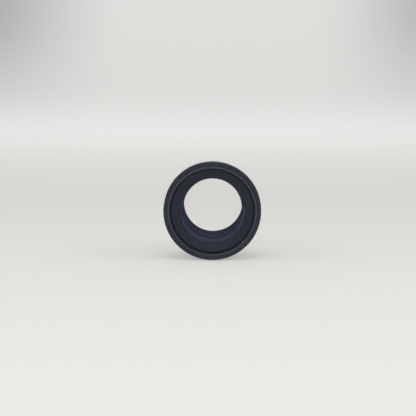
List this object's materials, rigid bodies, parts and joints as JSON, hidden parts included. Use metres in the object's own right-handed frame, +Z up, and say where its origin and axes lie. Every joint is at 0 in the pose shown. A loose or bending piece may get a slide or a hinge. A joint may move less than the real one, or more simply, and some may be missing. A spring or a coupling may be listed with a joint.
{
  "type": "telescope eyepiece",
  "caption": "Push-in telescope eyepiece: multi-element lens cell in a black housing with a ribbed twist collar that raises a rubber eyecup, on a chromed barrel with filter thread.",
  "frame": {"origin": "on the optical axis, in the plane of the shoulder where the push-in barrel starts", "axes": "+Y along the optical axis from the eye end towards the barrel's mouth, +Z up as the eyepiece lies on its side, +X to the right seen from the eye end"},
  "size_m": [0.0426, 0.061, 0.0426],
  "materials": {
    "soft_black_rubber": "matte moulded rubber",
    "ribbed_black_rubber": "matte moulded rubber, lengthwise flutes",
    "black_anodised": "fine-turned, matte black anodised",
    "blackened_inside": "flat black anodised against stray light",
    "chromed_barrel": "chromed outside, flat black inside",
    "plain_steel": "bright steel",
    "black_steel": "black oxide",
    "key_brass": "satin",
    "seal_rubber": "nitrile, lightly greased",
    "washer_polymer": "low-friction polymer",
    "optical_glass_flint": "polished, violet-green anti-reflection coating",
    "optical_glass_crown": "polished, cemented to the flint"
  },
  "bodies": {
    "housing": {"main_housing": "black_anodised", "face_ring": "black_anodised", "lower_skirt": "black_anodised", "lens_cell": "blackened_inside", "lens_spacer": "blackened_inside", "eye_retaining_ring": "blackened_inside", "field_retaining_ring": "blackened_inside", "field_stop": "blackened_inside", "glare_baffle": "blackened_inside", "barrel": "chromed_barrel", "eye_lens_flint": "optical_glass_flint", "field_lens_flint": "optical_glass_flint", "eye_lens_crown": "optical_glass_crown", "field_lens_crown": "optical_glass_crown", "cell_o_ring": "seal_rubber", "friction_o_ring": "seal_rubber", "thrust_washer": "washer_polymer", "detent_ball": "plain_steel", "detent_spring": "plain_steel", "collar_snap_ring": "black_steel", "skirt_grub_screws": "black_steel"},
    "collar": {"twist_collar": "black_anodised", "drive_keys": "key_brass", "collar_grip": "ribbed_black_rubber"},
    "eyecup": {"eyecup_sleeve": "black_anodised", "guide_pins": "plain_steel", "eyecup_rubber": "soft_black_rubber"}
  },
  "joints": [
    {"name": "collar_turn", "type": "hinge", "parent": "housing", "child": "collar", "pos_m": [0, -0.015, 0], "axis": [0, -1, 0], "range_deg": [0, 120]},
    {"name": "eyecup_rise", "type": "slide", "parent": "collar", "child": "eyecup", "axis": [0, -1, 0], "range_m": [0, 0.008]}
  ],
  "couplings": [
    {"joint": "eyecup_rise", "follows": "collar_turn", "m_per_rad": 0.0038197}
  ]
}
